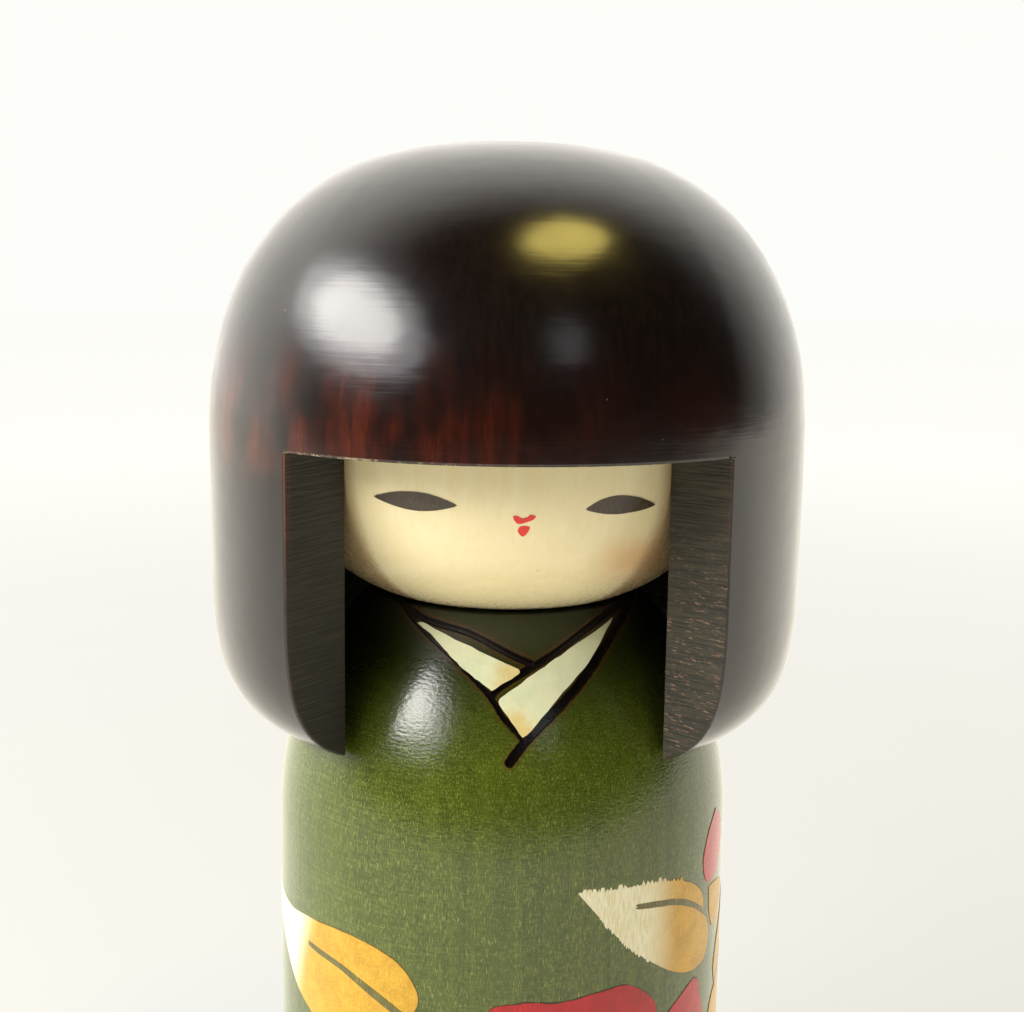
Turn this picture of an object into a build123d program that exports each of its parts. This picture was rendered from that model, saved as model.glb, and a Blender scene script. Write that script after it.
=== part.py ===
from build123d import *
from math import atan2, degrees
import os

# A turned wooden doll in four pieces: a cylindrical body with a rounded
# shoulder, a dowel glued into the shoulder, a pale head whose lower half is
# the face, and a thick dark bell of hair that is glued over the head. A sawn
# window in the bell shows the face. Head and hair turn together on the dowel.
# Millimetres, +Z up, origin at the centre of the base, the face looks along -Y.

# --- body -------------------------------------------------------------------
BODY_RADIUS = 35.9          # the straight part of the cylinder
SEAT_HEIGHT = 111.2         # flat top of the shoulder, where the head sits
SEAT_RADIUS = 21.0          # edge of that flat
BASE_EDGE_RADIUS = 1.2      # rounded edge around the foot

# --- collar, burnt into the shoulder ----------------------------------------
GROOVE_DEPTH = 0.5
# Each line of the collar is given as (x, drop below the seat) points, as seen
# from the front.
UNDER_LEFT = {"width": 0.75, "points": [(-15.2, 0.0), (-11.7, 1.3), (-5.5, 2.3), (-0.6, 4.2), (3.7, 5.9)]}
UNDER_RIGHT = {"width": 0.8, "points": [(18.0, 0.0), (12.7, 1.8), (6.6, 5.0), (3.0, 6.7), (-1.0, 8.9),
                                        (-1.9, 10.1)]}
OVER_LEFT = {"width": 0.6, "points": [(-15.6, 0.0), (-13.1, 1.9), (-7.1, 5.8), (-2.2, 9.9), (-0.4, 12.4),
                                      (2.4, 15.2)]}
OVER_RIGHT = {"width": 1.2, "points": [(19.4, 0.0), (15.3, 3.9), (10.2, 9.3), (5.4, 13.4), (2.7, 15.9),
                                       (0.7, 18.4)]}

# --- neck peg ---------------------------------------------------------------
PEG_RADIUS = 6.0
PEG_IN_BODY = 17.0          # glued length
PEG_IN_HEAD = 14.0          # length that the head turns on
PEG_CHAMFER = 0.8
SOCKET_END_GAP = 1.0        # air left past each end of the peg
GLUE_GAP = 0.05             # radial gap of a glued round joint
TURN_CLEARANCE = 0.08       # radial gap between the peg and the head's bore

# --- hair bell --------------------------------------------------------------
SHOULDER_STEP = 0.9         # the body stands this far out past the bell's bore
RIM_GAP = 1.5               # radial gap between the rim and the shoulder
HAIR_WALL = 11.0            # wall of the bell at its widest
RIM_DROP = 19.8             # rim, below the seat
BAND_RISE = 11.0            # where the straight band starts, above the seat
FRINGE_RISE = 25.3          # fringe and top of the band, above the seat
CROWN_RISE = 68.8           # top of the head, above the seat
WINDOW_HALF_ANGLE = 41.1    # of the sawn opening, either side of the front
SAWN_EDGE_RADIUS = 0.4      # worn edge around the opening
RIM_FLAT = 0.5              # width of the rim's bottom edge

# --- head -------------------------------------------------------------------
HEAD_FIT_GAP = 0.1          # radial glue gap between the head and the bell's bore
HEAD_PLUG = 12.0            # how far the head goes into the bell above the fringe
FACE_RISE = 23.3            # where the face starts to curve in, above the seat
FOOT_RADIUS = 18.0          # flat underside of the head, resting on the seat
PLUG_CHAMFER = 1.0

# Shape of each turned curve, as (height power, radius power): how slowly it
# leaves the vertical and how full it stays.
CROWN_SHAPE = (2.13, 2.68)
RIM_SHAPE = (4.5, 4.3)
FACE_SHAPE = (2.1, 2.85)
CURVE_STEPS = 12

# --- sizes that follow ------------------------------------------------------
BORE_RADIUS = BODY_RADIUS - SHOULDER_STEP
HAIR_RADIUS = BORE_RADIUS + HAIR_WALL
HEAD_RADIUS = BORE_RADIUS - HEAD_FIT_GAP
RIM_HEIGHT = SEAT_HEIGHT - RIM_DROP
FRINGE_HEIGHT = SEAT_HEIGHT + FRINGE_RISE
HEAD_TOP = FRINGE_HEIGHT + HEAD_PLUG
BORE_TOP = HEAD_TOP + HEAD_FIT_GAP


def turned_curve(radius, height, length, shape, end_radius):
    """Half profile that leaves the vertical at (radius, height) and curves in to end_radius.

    It follows r = radius * (1 - t**height_power) ** (1 / radius_power), with t
    growing from 0 to its last value over the given length (negative is down).
    """
    height_power, radius_power = shape
    t_end = (1 - (end_radius / radius) ** radius_power) ** (1 / height_power)
    points = []
    for step in range(CURVE_STEPS + 1):
        share = 1 - (1 - step / CURVE_STEPS) ** 2
        t = t_end * share
        r = radius * (1 - t ** height_power) ** (1 / radius_power)
        points.append((r, height + length * share))
    points[-1] = (end_radius, height + length)
    return Spline(*points)


def turn(*edges):
    """Solid turned about the Z axis from a closed half profile drawn in (r, z)."""
    return revolve(Plane.XZ * make_face(edges), Axis.Z)


def shoulder_ellipse():
    """Height of the shoulder's start and its semi-height.

    The quarter ellipse clears the rim by RIM_GAP and ends at the edge of the seat.
    """
    at_rim = (1 - ((BORE_RADIUS - RIM_GAP) / BODY_RADIUS) ** 2) ** 0.5
    at_seat = (1 - (SEAT_RADIUS / BODY_RADIUS) ** 2) ** 0.5
    semi_height = RIM_DROP / (at_seat - at_rim)
    return RIM_HEIGHT - at_rim * semi_height, semi_height


def turned_body(inset=0.0):
    """The plain turned body, or the same shape with its side moved in by inset."""
    start, semi_height = shoulder_ellipse()
    radius = BODY_RADIUS - inset
    semi_height = semi_height - inset
    top_radius = radius * (1 - ((SEAT_HEIGHT - start) / semi_height) ** 2) ** 0.5
    base = Polyline((radius, start), (radius, 0), (0, 0), (0, SEAT_HEIGHT), (top_radius, SEAT_HEIGHT))
    points = []
    for step in range(CURVE_STEPS + 1):
        height = start + (SEAT_HEIGHT - start) * (1 - (1 - step / CURVE_STEPS) ** 2)
        points.append((radius * (1 - ((height - start) / semi_height) ** 2) ** 0.5, height))
    return turn(base, Spline(*points))


def collar_cutter(line):
    """Round-ended strip along one line of the collar, cutting in from the front."""
    path = Spline(*[(x, SEAT_HEIGHT - drop) for x, drop in line["points"]])
    strip = trace(path, line["width"])
    for end in (path @ 0, path @ 1):
        strip += Pos(end.X, end.Y) * Circle(line["width"] / 2)
    return extrude(Plane.XZ * strip, BODY_RADIUS * 2)


def make_body():
    """The body with its socket for the peg and the burnt collar lines."""
    body = turned_body()
    body = fillet(body.edges().group_by(Axis.Z)[0], BASE_EDGE_RADIUS)
    core = turned_body(GROOVE_DEPTH)
    for line in (UNDER_LEFT, UNDER_RIGHT, OVER_LEFT, OVER_RIGHT):
        body -= collar_cutter(line) - core
    depth = PEG_IN_BODY + SOCKET_END_GAP
    socket = Pos(0, 0, SEAT_HEIGHT - depth / 2) * Cylinder(PEG_RADIUS + GLUE_GAP, depth)
    return body - socket


def make_neck_peg():
    """The dowel, half in the body and half in the head."""
    length = PEG_IN_BODY + PEG_IN_HEAD
    centre = SEAT_HEIGHT + (PEG_IN_HEAD - PEG_IN_BODY) / 2
    peg = Pos(0, 0, centre) * Cylinder(PEG_RADIUS, length)
    return chamfer(peg.edges().filter_by(GeomType.CIRCLE), PEG_CHAMFER)


def make_head_core():
    """The pale head: a plug for the bell, the face's bowl and the bore for the peg."""
    face_top = SEAT_HEIGHT + FACE_RISE
    bowl = turned_curve(HEAD_RADIUS, face_top, -FACE_RISE, FACE_SHAPE, FOOT_RADIUS)
    plug = Polyline((FOOT_RADIUS, SEAT_HEIGHT), (0, SEAT_HEIGHT), (0, HEAD_TOP),
                    (HEAD_RADIUS - PLUG_CHAMFER, HEAD_TOP), (HEAD_RADIUS, HEAD_TOP - PLUG_CHAMFER),
                    (HEAD_RADIUS, face_top))
    depth = PEG_IN_HEAD + SOCKET_END_GAP
    bore = Pos(0, 0, SEAT_HEIGHT + depth / 2) * Cylinder(PEG_RADIUS + TURN_CLEARANCE, depth)
    return turn(bowl, plug) - bore


def window_cutter():
    """Wedge from the axis to past the front of the bell, up to the fringe."""
    reach = HAIR_RADIUS * 2
    height = FRINGE_HEIGHT - RIM_HEIGHT + HAIR_WALL
    corners = [(0, 0)]
    for side in (-1, 1):
        tip = Vector(0, -reach).rotate(Axis.Z, side * WINDOW_HALF_ANGLE)
        corners.append((tip.X, tip.Y))
    plan = Pos(0, 0, FRINGE_HEIGHT - height) * make_face(Polyline(*corners, close=True))
    return extrude(plan, height, dir=(0, 0, 1))


def make_hair_cap():
    """The turned bell with its bore and the sawn window for the face."""
    band = SEAT_HEIGHT + BAND_RISE
    crown_rise = CROWN_RISE - FRINGE_RISE
    crown = turned_curve(HAIR_RADIUS, FRINGE_HEIGHT, crown_rise, CROWN_SHAPE, 0)
    skirt = turned_curve(HAIR_RADIUS, band, RIM_HEIGHT - band, RIM_SHAPE, BORE_RADIUS + RIM_FLAT)
    side = Line((HAIR_RADIUS, band), (HAIR_RADIUS, FRINGE_HEIGHT))
    inside = Polyline((BORE_RADIUS + RIM_FLAT, RIM_HEIGHT), (BORE_RADIUS, RIM_HEIGHT),
                      (BORE_RADIUS, BORE_TOP), (0, BORE_TOP), (0, SEAT_HEIGHT + CROWN_RISE))
    cap = turn(crown, side, skirt, inside) - window_cutter()
    return fillet([edge for edge in cap.edges() if is_outer_sawn_edge(edge)], SAWN_EDGE_RADIUS)


def is_outer_sawn_edge(edge):
    """True for the edges where the window meets the outside of the bell."""
    middle = edge @ 0.5
    radius = (middle.X ** 2 + middle.Y ** 2) ** 0.5
    from_front = degrees(atan2(abs(middle.X), -middle.Y))
    on_window = from_front < WINDOW_HALF_ANGLE + 0.01 and middle.Z < FRINGE_HEIGHT + 0.01
    # The fringe's side runs from the bore to the outside, with its middle halfway through the wall.
    return on_window and radius > BORE_RADIUS + HAIR_WALL * 0.6


PIECES = {
    "body": make_body,
    "neck_peg": make_neck_peg,
    "head_core": make_head_core,
    "hair_cap": make_hair_cap,
}

os.makedirs("parts", exist_ok=True)
for node, make in PIECES.items():
    solid = make()
    export_step(solid, f"parts/{node}.step")
    print(node, round(solid.volume / 1000, 2), "cm3")
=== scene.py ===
import logging
import math
import random
from abc import ABC, abstractmethod
from collections.abc import Callable, Sequence
from dataclasses import dataclass, field, replace
from enum import Enum

import bmesh
import bpy
from mathutils import Euler, Matrix, Vector, noise


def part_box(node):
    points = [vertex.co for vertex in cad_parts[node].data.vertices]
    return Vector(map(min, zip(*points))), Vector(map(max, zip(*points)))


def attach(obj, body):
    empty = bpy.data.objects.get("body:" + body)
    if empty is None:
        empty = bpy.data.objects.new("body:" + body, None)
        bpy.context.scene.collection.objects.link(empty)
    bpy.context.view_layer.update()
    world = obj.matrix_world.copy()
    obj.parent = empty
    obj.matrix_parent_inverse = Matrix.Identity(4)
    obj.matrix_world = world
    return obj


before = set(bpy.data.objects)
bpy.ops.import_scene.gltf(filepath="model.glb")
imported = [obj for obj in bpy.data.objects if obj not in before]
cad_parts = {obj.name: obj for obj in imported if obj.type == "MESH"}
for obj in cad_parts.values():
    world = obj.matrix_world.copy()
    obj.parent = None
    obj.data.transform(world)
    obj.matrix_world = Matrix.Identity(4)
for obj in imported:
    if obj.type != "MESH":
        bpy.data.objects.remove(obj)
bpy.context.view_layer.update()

MM = 0.001
PER_MM = 1000.0
PLAN_UNIT = 10.0
NEARLY_ONE = 0.999
WINDOW_ANGLE = 41.1
CREASE = math.radians(40)
MIX_INPUTS = (0, 6, 7)  # a Mix node's factor and two colours
MIX_COLOUR = 2  # its mixed colour
log = logging.getLogger("kokeshi")

Point = tuple[float, float]
Stroke = Sequence[Point]
Socket = bpy.types.NodeSocket
Value = Socket | float
Colour = tuple[float, float, float, float]
Ramp = tuple[float, float, float, float]  # where a rise starts and ends, and its values there


def srgb(red: int, green: int, blue: int) -> Colour:
    """Turn a colour as an artist names it, 0 to 255, into the linear colour a shader takes.

    Args:
        red: red, 0 to 255.
        green: green, 0 to 255.
        blue: blue, 0 to 255.

    Returns:
        The linear colour with full alpha.
    """
    shares = [channel / 255 for channel in (red, green, blue)]
    linear = [s / 12.92 if s <= 0.04045 else ((s + 0.055) / 1.055) ** 2.4 for s in shares]
    return (*linear, 1.0)


class Slot(Enum):
    """The record's material slots."""

    BODY = "stained_body"
    HEAD = "pale_head"


class Body(Enum):
    """The two rigid bodies: what stands still and what turns."""

    STANDING = "body"
    TURNING = "head"


# --- shader wiring ----------------------------------------------------------


class Graph:
    """A node tree being wired up, with short calls for the nodes that the finishes use."""

    def __init__(self, tree: bpy.types.NodeTree) -> None:
        """Start on a tree and empty it."""
        self.tree = tree
        tree.nodes.clear()

    def node(self, kind: str, **settings: object) -> bpy.types.Node:
        """Add a node.

        Args:
            kind: the node's type name, without its ShaderNode prefix.
            settings: the node's own properties.

        Returns:
            The new node.
        """
        node = self.tree.nodes.new(kind if kind.startswith("Node") else "ShaderNode" + kind)
        for name, value in settings.items():
            setattr(node, name, value)
        return node

    def feed(self, socket: Socket, value: Value | Sequence[float]) -> None:
        """Link an output to a socket, or set the socket's own value.

        Args:
            socket: the input.
            value: an output socket, a number or a vector.
        """
        if isinstance(value, bpy.types.NodeSocket):
            self.tree.links.new(value, socket)
        else:
            socket.default_value = value

    def math(self, operation: str, first: Value, second: Value = 0.0, clamp: bool = False) -> Socket:
        """Add a Math node.

        Args:
            operation: the node's name for the operation.
            first: the first number.
            second: the second number, where the operation has one.
            clamp: whether to keep the result between 0 and 1.

        Returns:
            The result.
        """
        node = self.node("Math", operation=operation, use_clamp=clamp)
        self.feed(node.inputs[0], first)
        self.feed(node.inputs[1], second)
        return node.outputs[0]

    def add(self, first: Value, second: Value) -> Socket:
        """Add two numbers."""
        return self.math("ADD", first, second)

    def minus(self, first: Value, second: Value, clamp: bool = False) -> Socket:
        """Take the second number from the first, and keep it between 0 and 1 if asked."""
        return self.math("SUBTRACT", first, second, clamp)

    def times(self, *factors: Value, clamp: bool = False) -> Socket:
        """Multiply two or more numbers, and keep the result between 0 and 1 if asked."""
        product, *middle, last = factors
        for factor in middle:
            product = self.math("MULTIPLY", product, factor)
        return self.math("MULTIPLY", product, last, clamp)

    def reach(self, x: Value, y: Value) -> Socket:
        """Distance of a flat point from its origin."""
        return self.math("SQRT", self.add(self.times(x, x), self.times(y, y)))

    def stretch(self, vector: Socket, scale: Sequence[float], shift: Sequence[float] = (0, 0, 0)) -> Socket:
        """Scale a vector along its three axes.

        Args:
            vector: the vector.
            scale: a factor for each axis.
            shift: what is added afterwards.

        Returns:
            The stretched vector.
        """
        node = self.node("Mapping")
        self.feed(node.inputs["Vector"], vector)
        node.inputs["Scale"].default_value = scale
        node.inputs["Location"].default_value = shift
        return node.outputs[0]

    def noise(self, vector: Socket, scale: Value = 1.0, detail: float = 2.0,
              roughness: float = 0.5) -> Socket:
        """Add a noise and return its value, which centres on a half.

        Args:
            vector: where the noise is read.
            scale: its frequency.
            detail: the number of finer layers.
            roughness: how strong the finer layers are.

        Returns:
            The noise value.
        """
        node = self.node("TexNoise")
        self.feed(node.inputs["Vector"], vector)
        self.feed(node.inputs["Scale"], scale)
        node.inputs["Detail"].default_value = detail
        node.inputs["Roughness"].default_value = roughness
        return node.outputs["Fac"]

    def smooth(self, value: Value, low: Value, high: Value, start: Value = 0.0, end: Value = 1.0) -> Socket:
        """Ease a value from one range into another.

        Args:
            value: the value.
            low: where the rise starts.
            high: where it ends.
            start: the result at and before low.
            end: the result at and past high.

        Returns:
            The eased value.
        """
        node = self.node("MapRange", interpolation_type="SMOOTHSTEP")
        given = {"Value": value, "From Min": low, "From Max": high, "To Min": start, "To Max": end}
        for name, number in given.items():
            self.feed(node.inputs[name], number)
        return node.outputs[0]

    def fall(self, value: Value, low: Value, high: Value) -> Socket:
        """Ease from 1 at and before low to 0 at and past high."""
        return self.smooth(value, low, high, 1.0, 0.0)

    def blend(self, share: Value, first: Socket | Colour, second: Socket | Colour) -> Socket:
        """Mix two colours.

        Args:
            share: how much of the second colour shows.
            first: the first colour.
            second: the second colour.

        Returns:
            The mixed colour.
        """
        node = self.node("Mix", data_type="RGBA")
        for index, given in zip(MIX_INPUTS, (share, first, second)):
            self.feed(node.inputs[index], given)
        return node.outputs[MIX_COLOUR]

    def split(self, vector: Socket) -> list[Socket]:
        """Take a vector apart into its three numbers."""
        node = self.node("SeparateXYZ")
        self.feed(node.inputs[0], vector)
        return list(node.outputs)

    def join(self, x: Value, y: Value, z: Value) -> Socket:
        """Make a vector of three numbers.

        Args:
            x: the first number.
            y: the second number.
            z: the third number.

        Returns:
            The vector.
        """
        node = self.node("CombineXYZ")
        for socket, value in zip(node.inputs, (x, y, z)):
            self.feed(socket, value)
        return node.outputs[0]

    def group(self, effect: bpy.types.NodeTree, **inputs: object) -> dict[str, Socket]:
        """Place a shared effect.

        Args:
            effect: the node group.
            inputs: values for its named inputs, with _ for a space.

        Returns:
            The effect's outputs by name.
        """
        node = self.node("Group", node_tree=effect)
        for name, value in inputs.items():
            self.feed(node.inputs[name.replace("_", " ")], value)
        return {output.name: output for output in node.outputs}

    def bump(self, height: Socket, distance: float, under: Socket | None = None) -> Socket:
        """Turn a height into a normal.

        Args:
            height: the height, 0 to 1.
            distance: the relief in millimetres that 1 stands for.
            under: a normal that this relief lies on.

        Returns:
            The new normal.
        """
        node = self.node("Bump")
        node.inputs["Strength"].default_value = 1.0
        node.inputs["Distance"].default_value = distance * MM
        self.feed(node.inputs["Height"], height)
        if under is not None:
            self.feed(node.inputs["Normal"], under)
        return node.outputs[0]

    def place(self) -> Socket:
        """Read where a point is on the object, in millimetres."""
        where = self.node("TexCoord").outputs["Object"]
        return self.stretch(where, (PER_MM, PER_MM, PER_MM))


class Effects:
    """The shared shader effects, each a node group that is built once."""

    def __init__(self) -> None:
        """Build every group."""
        self.turned = self._turned()
        self.fibre = self._fibre()
        self.rings = self._rings()
        self.specks = self._specks()
        self.ripple = self._ripple()
        self.line = self._line()

    def _start(self, name: str, inputs: dict[str, object],
               outputs: Sequence[str]) -> tuple[Graph, dict[str, Socket], dict[str, Socket]]:
        """Open a new group.

        Args:
            name: the group's name.
            inputs: its inputs' names and starting values, where None stands for a vector.
            outputs: its outputs' names.

        Returns:
            The graph, the inside ends of the inputs, and those of the outputs.
        """
        tree = bpy.data.node_groups.new(name, "ShaderNodeTree")
        for key, value in inputs.items():
            kind = "NodeSocketVector" if value is None else "NodeSocketFloat"
            socket = tree.interface.new_socket(name=key, in_out="INPUT", socket_type=kind)
            if value is not None:
                socket.default_value = value
        for key in outputs:
            tree.interface.new_socket(name=key, in_out="OUTPUT", socket_type="NodeSocketFloat")
        graph = Graph(tree)
        given = graph.node("NodeGroupInput")
        result = graph.node("NodeGroupOutput")
        return graph, {s.name: s for s in given.outputs}, {s.name: s for s in result.inputs}

    def _turned(self) -> bpy.types.NodeTree:
        """Distance from the turning axis, height, and angle from the front, for a place in millimetres."""
        graph, given, result = self._start("turned place", {"Place": None}, ("Radius", "Height", "Angle"))
        x, y, z = graph.split(given["Place"])
        graph.feed(result["Radius"], graph.reach(x, y))
        graph.feed(result["Height"], z)
        graph.feed(result["Angle"], graph.math("ARCTAN2", x, graph.times(y, -1.0)))
        return graph.tree

    def _fibre(self) -> bpy.types.NodeTree:
        """Streaks that run up the wood: Width and Length are their size in millimetres."""
        inputs = {"Place": None, "Width": 0.4, "Length": 6.0}
        graph, given, result = self._start("wood fibre", inputs, ("Value",))
        x, y, z = graph.split(given["Place"])
        across = graph.math("DIVIDE", 1.0, given["Width"])
        along = graph.math("DIVIDE", 1.0, given["Length"])
        vector = graph.join(graph.times(x, across), graph.times(y, across), graph.times(z, along))
        graph.feed(result["Value"], graph.noise(vector, 1.0, 3.0, 0.6))
        return graph.tree

    def _rings(self) -> bpy.types.NodeTree:
        """Fine rings that a turning tool leaves: Pitch is their spacing and Run their length, in mm."""
        inputs = {"Place": None, "Pitch": 0.3, "Run": 20.0}
        graph, given, result = self._start("lathe rings", inputs, ("Value",))
        x, y, z = graph.split(given["Place"])
        radius = graph.group(self.turned, Place=given["Place"])["Radius"]
        per = graph.math("DIVIDE", 1.0, given["Pitch"])
        along = graph.math("DIVIDE", graph.add(x, y), given["Run"])
        vector = graph.join(graph.times(radius, per), graph.times(z, per), along)
        graph.feed(result["Value"], graph.noise(vector, 1.0, 2.0, 0.6))
        return graph.tree

    def _specks(self) -> bpy.types.NodeTree:
        """Sparse grains of dust under the lacquer: Spacing and Size are in millimetres."""
        inputs = {"Place": None, "Spacing": 4.0, "Size": 0.12}
        graph, given, result = self._start("dust specks", inputs, ("Mask",))
        cells = graph.node("TexVoronoi", feature="F1")
        graph.feed(cells.inputs["Vector"], given["Place"])
        graph.feed(cells.inputs["Scale"], graph.math("DIVIDE", 1.0, given["Spacing"]))
        reach = graph.math("DIVIDE", given["Size"], given["Spacing"])
        fade = graph.fall(cells.outputs["Distance"], graph.times(reach, 0.5), reach)
        graph.feed(result["Mask"], fade)
        return graph.tree

    def _ripple(self) -> bpy.types.NodeTree:
        """The soft unevenness of sprayed lacquer, twice as wide as it is high: Size is in millimetres."""
        inputs = {"Place": None, "Size": 1.0}
        graph, given, result = self._start("lacquer ripple", inputs, ("Value",))
        per = graph.math("DIVIDE", 1.0, given["Size"])
        wide = graph.stretch(given["Place"], (0.5, 0.5, 1.0))
        graph.feed(result["Value"], graph.noise(wide, per, 1.0, 0.4))
        return graph.tree

    def _line(self) -> bpy.types.NodeTree:
        """Distance of a place from one straight run, seen from the front, in millimetres."""
        inputs = {"Place": None, "From": None, "To": None}
        graph, given, result = self._start("distance to a run", inputs, ("Distance",))

        def vector(operation: str, first: Socket, second: Socket | float) -> bpy.types.Node:
            """Add a Vector Math node on two inputs."""
            node = graph.node("VectorMath", operation=operation)
            graph.feed(node.inputs[0], first)
            if operation == "SCALE":
                graph.feed(node.inputs["Scale"], second)
            else:
                graph.feed(node.inputs[1], second)
            return node

        flat = vector("MULTIPLY", given["Place"], (1.0, 0.0, 1.0)).outputs[0]
        out = vector("SUBTRACT", flat, given["From"]).outputs[0]
        run = vector("SUBTRACT", given["To"], given["From"]).outputs[0]
        share = graph.math("DIVIDE", vector("DOT_PRODUCT", out, run).outputs["Value"],
                           vector("DOT_PRODUCT", run, run).outputs["Value"], clamp=True)
        foot = vector("SCALE", run, share).outputs[0]
        graph.feed(result["Distance"], vector("DISTANCE", out, foot).outputs["Value"])
        return graph.tree


@dataclass
class Dressed:
    """A material being made: its graph, its shader and where the surface is read."""

    name: str
    material: bpy.types.Material = field(init=False)
    graph: Graph = field(init=False)
    shader: bpy.types.Node = field(init=False)
    place: Socket = field(init=False)

    def __post_init__(self) -> None:
        """Make the material with a Principled shader."""
        self.material = bpy.data.materials.new(self.name)
        self.material.use_nodes = True
        self.graph = Graph(self.material.node_tree)
        self.shader = self.graph.node("BsdfPrincipled")
        output = self.graph.node("OutputMaterial")
        self.graph.feed(output.inputs["Surface"], self.shader.outputs[0])
        self.place = self.graph.place()

    def read(self, effect: bpy.types.NodeTree, **inputs: float) -> Socket:
        """The only output of a shared effect, read where the surface is."""
        (result,) = self.graph.group(effect, Place=self.place, **inputs).values()
        return result

    def set(self, **inputs: object) -> None:
        """Feed or set the shader's inputs, named with _ for a space."""
        for name, value in inputs.items():
            self.graph.feed(self.shader.inputs[name.replace("_", " ")], value)


# --- the turned forms -------------------------------------------------------


class Form(ABC):
    """A turned outline, in millimetres."""

    radius: float

    @abstractmethod
    def radius_at(self, height: float) -> float:
        """Radius at a height."""

    def slope_at(self, height: float) -> float:
        """How fast the radius grows with height."""
        step = 0.01
        return (self.radius_at(height + step) - self.radius_at(height - step)) / (2 * step)


@dataclass(frozen=True)
class BodyForm(Form):
    """The body's turned outline, in millimetres."""

    radius: float
    seat_height: float
    seat_radius: float = 21.0
    rim_drop: float = 19.8
    rim_radius: float = 33.5

    @property
    def shoulder(self) -> Point:
        """Height at which the shoulder starts, and its semi-height."""
        at_rim = math.sqrt(1 - (self.rim_radius / self.radius) ** 2)
        at_seat = math.sqrt(1 - (self.seat_radius / self.radius) ** 2)
        semi = self.rim_drop / (at_seat - at_rim)
        return self.seat_height - self.rim_drop - at_rim * semi, semi

    def radius_at(self, height: float) -> float:
        """Radius of the body at a height."""
        start, semi = self.shoulder
        share = min(max((height - start) / semi, 0.0), NEARLY_ONE)
        return self.radius * math.sqrt(1 - share * share)


@dataclass(frozen=True)
class FaceForm(Form):
    """The head's turned outline below the fringe, in millimetres."""

    radius: float
    seat_height: float
    rise: float = 23.3
    foot_radius: float = 18.0
    height_power: float = 2.1
    radius_power: float = 2.85

    def radius_at(self, height: float) -> float:
        """Radius of the head at a height."""
        foot = (1 - (self.foot_radius / self.radius) ** self.radius_power) ** (1 / self.height_power)
        share = (self.seat_height + self.rise - height) / self.rise * foot
        share = min(max(share, 0.0), NEARLY_ONE)
        return self.radius * (1 - share ** self.height_power) ** (1 / self.radius_power)


def lifted(form: Form, angle: float, height: float, lift: float) -> Vector:
    """A place just off a turned form.

    Args:
        form: the turned form.
        angle: the angle from the front, in radians, towards +X.
        height: the height in millimetres.
        lift: the distance off the surface, in millimetres.

    Returns:
        The place in metres.
    """
    slope = form.slope_at(height)
    out = Vector((math.sin(angle), -math.cos(angle), 0))
    normal = (out - Vector((0, 0, slope))).normalized()
    point = out * form.radius_at(height) + Vector((0, 0, height)) + normal * lift
    return point * MM


def wrapped(form: Form) -> Callable[[float, float, float], Vector]:
    """A placing rule that wraps a drawing around a form: x is the arc at the form's full radius."""
    return lambda arc, height, lift: lifted(form, arc / form.radius, height, lift)


def pressed(form: Form) -> Callable[[float, float, float], Vector]:
    """A placing rule that presses a drawing straight back onto a form: x stays x."""

    def place(x: float, height: float, lift: float) -> Vector:
        """Place one point of the drawing."""
        angle = math.asin(max(-NEARLY_ONE, min(NEARLY_ONE, x / form.radius_at(height))))
        return lifted(form, angle, height, lift)

    return place


# --- paint ------------------------------------------------------------------


def curve_through(points: Stroke, spans: int = 6) -> list[Point]:
    """A smooth curve through a few points.

    Args:
        points: the points it passes.
        spans: steps between two of them.

    Returns:
        The points of the curve, ends included.
    """
    if len(points) == 2:
        (ax, ay), (bx, by) = points
        return [(ax + (bx - ax) * i / spans, ay + (by - ay) * i / spans) for i in range(spans + 1)]
    padded = [points[0], *points, points[-1]]
    result = []
    for before, start, end, after in zip(padded, padded[1:], padded[2:], padded[3:]):
        for step in range(spans):
            t = step / spans
            result.append(tuple(
                0.5 * (2 * s + (e - b) * t + (2 * b - 5 * s + 4 * e - a) * t ** 2
                       + (3 * s - b - 3 * e + a) * t ** 3)
                for b, s, e, a in zip(before, start, end, after)))
    result.append(tuple(points[-1]))
    return result


def joined(*strokes: Stroke) -> list[Point]:
    """Join strokes, each starting where the last one ends, into a closed outline with no point twice."""
    return [point for stroke in strokes for point in stroke[:-1]]


def looped(*strokes: Stroke, spans: int = 6) -> list[Point]:
    """Join smooth curves through the strokes' points, with spans steps between two of them."""
    return joined(*(curve_through(stroke, spans) for stroke in strokes))


def bristled(points: Stroke, reach: float, spacing: float, share: tuple[float, float],
             seed: int) -> list[Point]:
    """A stroke whose paint has crept along the upright grain in fine teeth.

    Args:
        points: the points that the stroke passes.
        reach: the longest tooth; upwards, or downwards where it is negative.
        spacing: the distance from one tooth to the next.
        share: where along the stroke the teeth start and end, from 0 to 1.
        seed: the seed of the teeth's places and lengths.

    Returns:
        The stroke's points, teeth included.
    """
    draws = random.Random(seed)
    path = curve_through(points, 24)
    steps = [math.hypot(bx - ax, by - ay) for (ax, ay), (bx, by) in zip(path, path[1:])]
    whole = sum(steps)
    gone = start = 0.0
    wide, tall = spacing, 0.0
    result = [path[0]]
    for (x, y), step in zip(path[1:], steps):
        gone += step
        if gone - start > wide:
            start, wide = gone, spacing * draws.uniform(0.5, 1.5)
            tall = reach * draws.uniform(0.2, 1.0) if share[0] < gone / whole < share[1] else 0.0
        into = (gone - start) / wide
        result.append((x, y + tall * min(1.0, into / 0.15, (1.0 - into) / 0.3)))
    return result


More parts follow.
